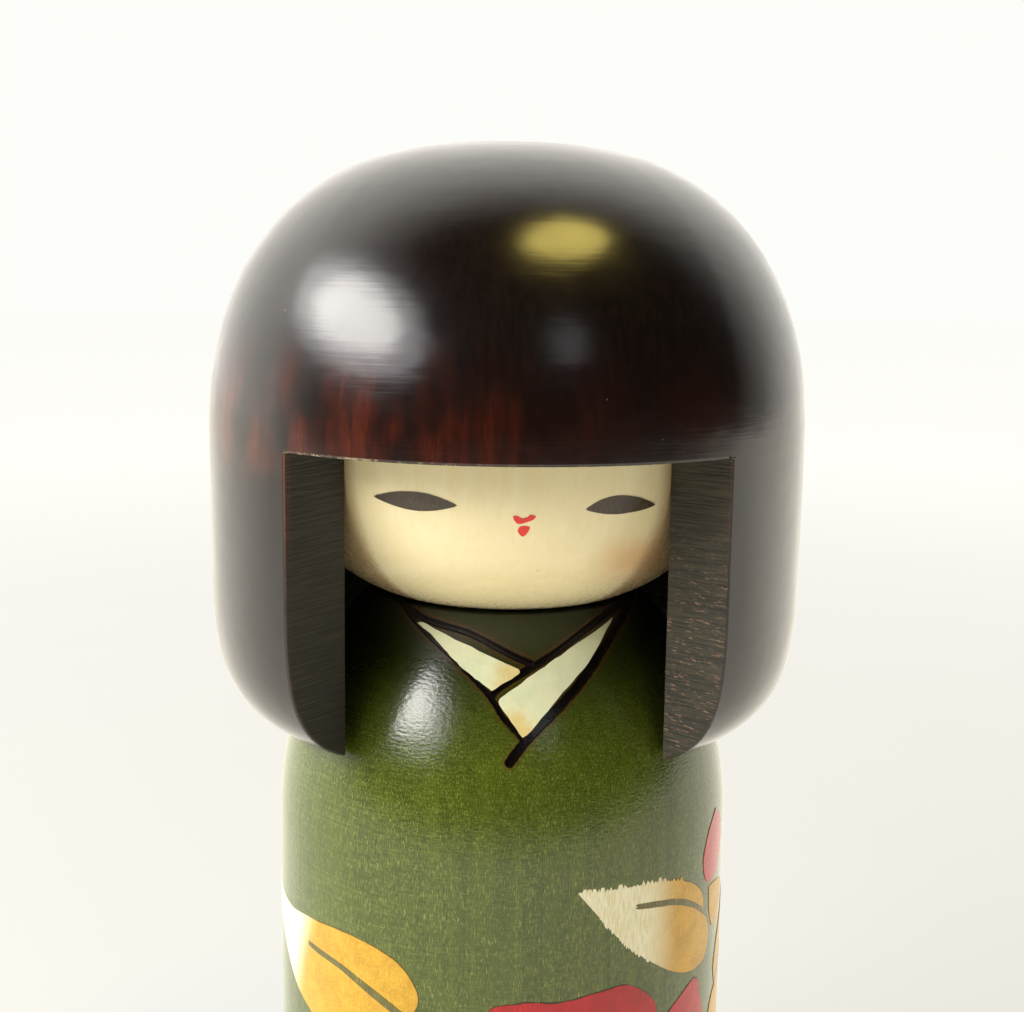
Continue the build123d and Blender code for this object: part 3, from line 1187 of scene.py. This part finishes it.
@dataclass
class PaintedBody:
    """The turned body, with its collar, leaves and camellia painted on."""

    form: BodyForm
    effects: Effects
    flower: Point = (14.0, 39.0)
    stamens: int = 13
    ink_line: float = 0.12
    ink_drop: float = 0.03
    ink: bpy.types.Material = field(init=False)

    def build(self) -> None:
        """Dress the body and paint every motif."""
        dress_node("body", BodyStain(self.form).material(self.effects))
        self.ink = INK_BROWN.material(self.effects)
        self._collar()
        vein = VEIN_GREEN.material(self.effects)
        for leaf in LEAVES:
            rim = replace(leaf.paint, name=leaf.paint.name + " rim", **RIM_BROWN).material(self.effects)
            outline, tip = leaf.outline(), leaf.upper[0]
            self._patch(leaf.name + "_rim", grown(outline, self.ink_line), rim, tip, lift=0.04)
            self._patch(leaf.name, outline, leaf.paint.material(self.effects), tip)
            self._patch(leaf.name + "_vein", looped(*leaf.vein), vein, lift=0.09)
        self._camellia()
        self._bud()

    def _patch(self, name: str, outline: list[Point], finish: bpy.types.Material, origin: Point = (0.0, 0.0),
               lift: float = 0.07, inked: float = 0.0, **settings: object) -> None:
        """Lay one patch around the body, with an ink line under it if asked.

        Args:
            name: the piece's name.
            outline: its outline, as (arc, height).
            finish: its paint.
            origin: where its plan map starts.
            lift: how proud it stands.
            inked: how far the ink shows past it.
            settings: more of PaintPatch's fields.
        """
        fixed = {"placing": wrapped(self.form), "body": Body.STANDING, "slot": Slot.BODY} | settings
        if inked:
            under = grown(outline, inked)
            PaintPatch(name + "_ink", under, finish=self.ink, lift=lift - self.ink_drop, **fixed).build()
        PaintPatch(name, outline, finish=finish, origin=origin, lift=lift, **fixed).build()

    def _collar(self) -> None:
        """Paint the two panels between the burnt lines."""
        mint = CollarPaint("collar mint", srgb(240, 241, 200), srgb(216, 230, 184), srgb(250, 246, 216))
        finish = mint.material(self.effects)
        panels = {
            "collar_under": ((((-13.1, 109.3), (-11.4, 109.3), (-5, 107.2), (1.9, 104.7)),
                              ((1.9, 104.7), (1.9, 104.1), (-0.3, 102.9), (-1.9, 101.9)),
                              ((-1.9, 101.9), (-4.8, 103.7), (-7.4, 105.5), (-10.5, 108.0), (-13.1, 109.3))),
                             (1.5, 103.0)),
            "collar_over": ((((16, 109.8), (9, 106.7), (4, 104), (-0.6, 101.1)),
                             ((-0.6, 101.1), (-0.9, 100.4), (0.7, 98.4), (2.5, 96.1)),
                             ((2.5, 96.1), (3.9, 97.1), (8.3, 101.6), (12.0, 104.9), (15.2, 108.8),
                              (16, 109.8))),
                            (1.5, 96.5)),
        }
        for name, (strokes, corner) in panels.items():
            self._patch(name, looped(*strokes), finish, corner, placing=pressed(self.form), pitch=0.9,
                        wobble=0.14)

    def _camellia(self) -> None:
        """Paint five petals round the flower's middle, and its stamens."""
        red = PetalPaint("petal red", srgb(190, 16, 28), srgb(150, 12, 22), srgb(208, 40, 46), fleck=0.2)
        finish = red.material(self.effects)
        petals = (
            ((13, 45), (6, 49), (-1.8, 56.4), (3.4, 58), (8.2, 57.7), (14.8, 58.4), (19, 58.5), (23, 56),
             (25, 52.6), (21, 48.5), (17, 45.5), (13, 45)),
            ((20.5, 44), (24.5, 48.6), (27.6, 51.4), (32.9, 54), (35.6, 54), (36.8, 50.8), (38.5, 46),
             (37.5, 40.5), (32, 37.4), (26, 37.2), (21, 40), (20.5, 44)),
            ((20.5, 36.4), (27, 34.4), (33.4, 31), (35, 25), (30.5, 19.4), (23, 17.4), (18.4, 21), (16.8, 27),
             (17.4, 33), (20.5, 36.4)),
            ((11, 34), (12.4, 27), (10, 20.6), (4, 16.8), (-3.4, 17.8), (-8.4, 23.4), (-7.6, 29.4),
             (-1, 33.2), (6, 35.4), (11, 34)),
            ((9.4, 39), (3, 37.4), (-6, 36.6), (-12, 40.4), (-13.2, 46.6), (-9.6, 52), (-4.6, 52.4),
             (2, 47.6), (8, 43.6), (9.4, 39)),
        )
        for number, points in enumerate(petals, 1):
            self._patch(f"petal_{number}", looped(points), finish, self.flower, inked=self.ink_line,
                        pitch=1.5, wobble=0.2)
        self._stamens()

    def _stamens(self) -> None:
        """Paint the ring of stamens: slim spokes with a dot at the end of each."""
        cream = Paint("stamen cream", srgb(240, 220, 150), srgb(220, 180, 90), srgb(250, 240, 200))
        finish = cream.material(self.effects)
        middle_x, middle_y = self.flower
        draws = random.Random(5)
        for number in range(1, self.stamens + 1):
            angle = math.tau * number / self.stamens + draws.uniform(-0.1, 0.1)
            reach = draws.uniform(4.6, 6.2)
            across = (-math.sin(angle), math.cos(angle))
            along = (math.cos(angle), math.sin(angle))

            def at(far: float, off: float) -> Point:
                """A point of the spoke, so far along it and so far off it."""
                x = middle_x + along[0] * far + across[0] * off
                return x, middle_y + along[1] * far + across[1] * off

            spoke = (at(0.8, 0.16), at(reach - 0.6, 0.14), at(reach - 0.1, 0.5), at(reach + 0.6, 0.0),
                     at(reach - 0.1, -0.5), at(reach - 0.6, -0.14), at(0.8, -0.16), at(0.8, 0.16))
            self._patch(f"stamen_{number}", looped(spoke, spans=3), finish, lift=0.09, wobble=0.02)

    def _bud(self) -> None:
        """Paint the closed bud and the small gold sepal under it."""
        red = Paint("bud red", srgb(190, 20, 34), srgb(158, 16, 28), srgb(212, 52, 58)).material(self.effects)
        bud = looped(((41.8, 79.4), (38.4, 76.8), (36.6, 72.8), (37.6, 69.4), (40, 68.2), (43.4, 69.4),
                      (45.6, 73.4), (44.6, 77), (41.8, 79.4)))
        self._patch("bud", bud, red)
        gold = LeafPaint("sepal gold", **GOLD, white_end=-9.0, fade=1.0).material(self.effects)
        sepal = looped(((39.2, 67.6), (39.9, 63), (42, 60), (45.6, 61), (47.6, 65.2), (44, 67), (39.2, 67.6)))
        self._patch("sepal", sepal, gold)


@dataclass
class PaintedHead:
    """The face, with its eyes and lips painted on."""

    form: FaceForm
    effects: Effects

    def build(self) -> None:
        """Dress the head and paint its features."""
        dress_node("head_core", IvoryFace().material(self.effects))
        ink = Paint("eye ink", srgb(72, 59, 45), srgb(56, 46, 33), srgb(106, 93, 78), fleck=0.5,
                    roughness=0.3)
        rim = Paint("eye rim", srgb(58, 44, 26), srgb(44, 32, 16), srgb(80, 64, 40), roughness=0.3)
        coral = Paint("lip coral", srgb(238, 46, 34), srgb(214, 44, 32), srgb(246, 84, 64), roughness=0.3)
        eyes = {
            "eye_right": (((-19.7, 129.9), (-16.5, 130.7), (-13, 130.95), (-10, 130.5), (-7.2, 129.5)),
                          ((-7.2, 129.5), (-10, 128.8), (-13.2, 128.55), (-16.5, 129), (-19.7, 129.9))),
            "eye_left": (((11.2, 129), (13.2, 130.1), (16, 130.6), (19.3, 130.1), (22.4, 128.95)),
                         ((22.4, 128.95), (19.5, 128.4), (16, 128.2), (13.4, 128.45), (11.2, 129))),
        }
        ink_finish, rim_finish = ink.material(self.effects), rim.material(self.effects)
        for name, strokes in eyes.items():
            outline = looped(*strokes)
            self._patch(name + "_rim", outline, rim_finish, 0.05)
            self._patch(name, grown(outline, -0.14), ink_finish, 0.07)
        lips = {
            "lip_upper": (((0.7, 128.2), (1.3, 128.25), (2.0, 127.9), (2.7, 128.05), (3.2, 128.4),
                           (3.9, 128.2)),
                          ((3.9, 128.2), (3.6, 127.75), (2.5, 127.3), (1.5, 127.1), (0.9, 127.6),
                           (0.7, 128.2))),
            "lip_lower": (((1.7, 126.7), (2.4, 126.8), (3.1, 126.65)),
                          ((3.1, 126.65), (3.0, 126.1), (2.5, 125.4), (2.0, 125.3), (1.45, 126.0),
                           (1.7, 126.7))),
        }
        finish = coral.material(self.effects)
        for name, strokes in lips.items():
            self._patch(name, looped(*strokes), finish, 0.07)

    def _patch(self, name: str, outline: list[Point], finish: bpy.types.Material, lift: float) -> None:
        """Lay one patch, an outline of (arc, height) points, on the face."""
        PaintPatch(name, outline, wrapped(self.form), finish, Body.TURNING, Slot.HEAD, lift=lift, pitch=0.8,
                   wobble=0.03).build()


@dataclass
class HairBell:
    """The turned and sawn bell of hair."""

    effects: Effects
    fringe_height: float = 136.5
    bore_radius: float = 35.0
    window_angle: float = WINDOW_ANGLE

    def build(self) -> None:
        """Dress the hair."""
        _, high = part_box("hair_cap")
        bore_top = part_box("head_core")[1][2] * PER_MM
        lacquer = HairLacquer(high[0] * PER_MM, self.fringe_height, self.bore_radius, bore_top,
                              self.window_angle)
        dress_node("hair_cap", lacquer.material(self.effects))


@dataclass
class NeckPeg:
    """The bare peg that the head turns on."""

    effects: Effects

    def build(self) -> None:
        """Dress the peg."""
        dress_node("neck_peg", BareWood().material(self.effects))


# --- camera, lights, floor --------------------------------------------------


@dataclass(frozen=True)
class Lamp:
    """A soft light aimed at the head.

    Direction is where it is, seen from the head. Distance, width and height are in metres, radiance is how
    bright its face looks, and turn is about its own axis, in degrees.
    """

    name: str
    direction: tuple[float, float, float]
    distance: float
    width: float
    height: float
    tint: tuple[float, float, float]
    radiance: float
    turn: float = 0.0

    def build(self, target: Vector) -> None:
        """Hang the light, aimed at a target in metres."""
        data = bpy.data.lights.new(self.name, "AREA")
        data.shape = "ELLIPSE"
        data.size, data.size_y = self.width, self.height
        data.color = self.tint
        area = math.pi * self.width * self.height / 4
        data.energy = self.radiance * math.pi * area
        light = bpy.data.objects.new(self.name, data)
        direction = Vector(self.direction)
        light.location = target + direction.normalized() * self.distance
        aimed = (-direction).to_track_quat("-Z", "Y").to_matrix()
        light.rotation_euler = (aimed @ Matrix.Rotation(math.radians(self.turn), 3, "Z")).to_euler()
        bpy.context.scene.collection.objects.link(light)


KEY = (-0.80, -0.36, 0.52)
LAMPS = (
    Lamp("key softbox", KEY, 0.62, 0.46, 0.22, (1.0, 0.965, 0.90), 12.5, -10.0),
    Lamp("key halo", KEY, 0.66, 0.80, 0.36, (0.97, 0.97, 1.0), 4.2, -12.0),
    Lamp("overhead lamp", (0.26, -0.26, 0.92), 0.80, 0.38, 0.26, (1.0, 0.80, 0.20), 11.0),
    Lamp("far window", (0.34, -0.80, 0.47), 1.30, 0.30, 0.34, (0.94, 0.97, 1.0), 1.1),
)


@dataclass(frozen=True)
class Studio:
    """A plain pale floor, soft light and the camera."""

    widest_height: float = 128.2
    camera_distance: float = 234.9
    camera_rise: float = 34.8
    camera_side: float = 0.9
    pitch: float = 9.45
    roll: float = 0.8
    swing: float = -0.6
    lens: float = 52.73
    sensor: float = 36.0
    floor_radius: float = 4.0
    floor_paper: Colour = srgb(129, 129, 127)
    floor_mottle: Colour = srgb(132, 132, 130)
    floor_look: Colour = srgb(255, 255, 251)
    floor_glow: Colour = srgb(255, 249, 234)
    floor_fade: Ramp = (50.0, 1100.0, 0.55, 0.80)
    glow_before: Ramp = (-950.0, -130.0, 0.0, 1.03)
    glow_behind: Ramp = (-100.0, 300.0, 0.0, 0.52)
    room_tint: Colour = (1.0, 0.965, 0.895, 1.0)
    room_turn: float = -0.22
    room_slant: float = -0.31
    room_above: Ramp = (0.15, 0.6, 1.75, 2.0)
    room_behind: Ramp = (-0.18, 0.52, 0.0, 1.0)
    room_dim: float = 0.03
    backdrop_tint: Colour = srgb(253, 253, 249)

    def build(self) -> None:
        """Set up everything around the doll."""
        self._camera()
        self._world()
        self._floor()
        for lamp in LAMPS:
            lamp.build(Vector((0, 0, self.widest_height * MM)))
        bpy.context.scene.view_settings.view_transform = "Standard"
        log.info("studio ready")

    def _camera(self) -> None:
        """Place the camera."""
        data = bpy.data.cameras.new("camera")
        data.lens = self.lens
        data.sensor_width = self.sensor
        data.clip_start = 0.01
        camera = bpy.data.objects.new("camera", data)
        height = self.widest_height + self.camera_rise
        swing = Matrix.Rotation(math.radians(self.swing), 3, "Z")
        camera.location = swing @ Vector((self.camera_side, -self.camera_distance, height)) * MM
        tilt = Euler((math.radians(90 - self.pitch), 0, 0)).to_matrix()
        camera.rotation_euler = (swing @ tilt @ Matrix.Rotation(math.radians(self.roll), 3, "Z")).to_euler()
        bpy.context.scene.collection.objects.link(camera)
        bpy.context.scene.camera = camera

    def _world(self) -> None:
        """Light the doll from a room that is white behind it, whitest at its right, and dim in front."""
        world = bpy.data.worlds.new("room")
        world.use_nodes = True
        bpy.context.scene.world = world
        graph = Graph(world.node_tree)
        direction = graph.node("TexCoord").outputs["Generated"]
        x, y, z = graph.split(direction)
        turned = graph.add(y, graph.times(x, self.room_turn))
        level = graph.add(graph.times(x, self.room_slant), graph.smooth(z, *self.room_above))
        behind = graph.smooth(turned, *self.room_behind)
        strength = graph.add(graph.times(behind, level), self.room_dim)
        seen = graph.node("LightPath").outputs["Is Camera Ray"]
        room = graph.node("Background")
        graph.feed(room.inputs["Color"], self.room_tint)
        graph.feed(room.inputs["Strength"], strength)
        backdrop = graph.node("Background")
        graph.feed(backdrop.inputs["Color"], self.backdrop_tint)
        graph.feed(backdrop.inputs["Strength"], 1.0)
        mix = graph.node("MixShader")
        graph.feed(mix.inputs[0], seen)
        graph.feed(mix.inputs[1], room.outputs[0])
        graph.feed(mix.inputs[2], backdrop.outputs[0])
        graph.feed(graph.node("OutputWorld").inputs["Surface"], mix.outputs[0])

    def _floor(self) -> None:
        """Lay a plain pale floor that glows a little, as lit paper does, except in front of the doll."""
        mesh = bmesh.new()
        bmesh.ops.create_circle(mesh, cap_ends=True, segments=96, radius=self.floor_radius)
        data = bpy.data.meshes.new("floor")
        mesh.to_mesh(data)
        mesh.free()
        dressed = Dressed("pale floor")
        graph = dressed.graph
        x, y, _ = graph.split(dressed.place)
        mottle = graph.noise(dressed.place, 0.02, 2.0)
        seen = graph.node("LightPath").outputs["Is Camera Ray"]
        away = graph.reach(x, y)
        look = graph.smooth(away, *self.floor_fade)
        glow = graph.add(graph.smooth(y, *self.glow_before), graph.smooth(y, *self.glow_behind))
        lit = graph.add(graph.times(seen, graph.minus(look, glow)), glow)
        dressed.set(Base_Color=graph.blend(mottle, self.floor_paper, self.floor_mottle), Roughness=0.9,
                    Specular_IOR_Level=0.0, Emission_Strength=lit,
                    Emission_Color=graph.blend(seen, self.floor_glow, self.floor_look))
        data.materials.append(dressed.material)
        floor = bpy.data.objects.new("floor", data)
        bpy.context.scene.collection.objects.link(floor)


def main() -> None:
    """Build the doll part by part, sized from its solids, then the studio."""
    logging.basicConfig(level=logging.INFO, format="%(message)s")
    effects = Effects()
    _, body_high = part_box("body")
    head_low, head_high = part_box("head_core")
    body = BodyForm(radius=body_high[0] * PER_MM, seat_height=body_high[2] * PER_MM)
    face = FaceForm(radius=head_high[0] * PER_MM, seat_height=head_low[2] * PER_MM)
    for part in (PaintedBody(body, effects), NeckPeg(effects), PaintedHead(face, effects), HairBell(effects)):
        part.build()
    Studio().build()


if __name__ == "__main__":
    main()
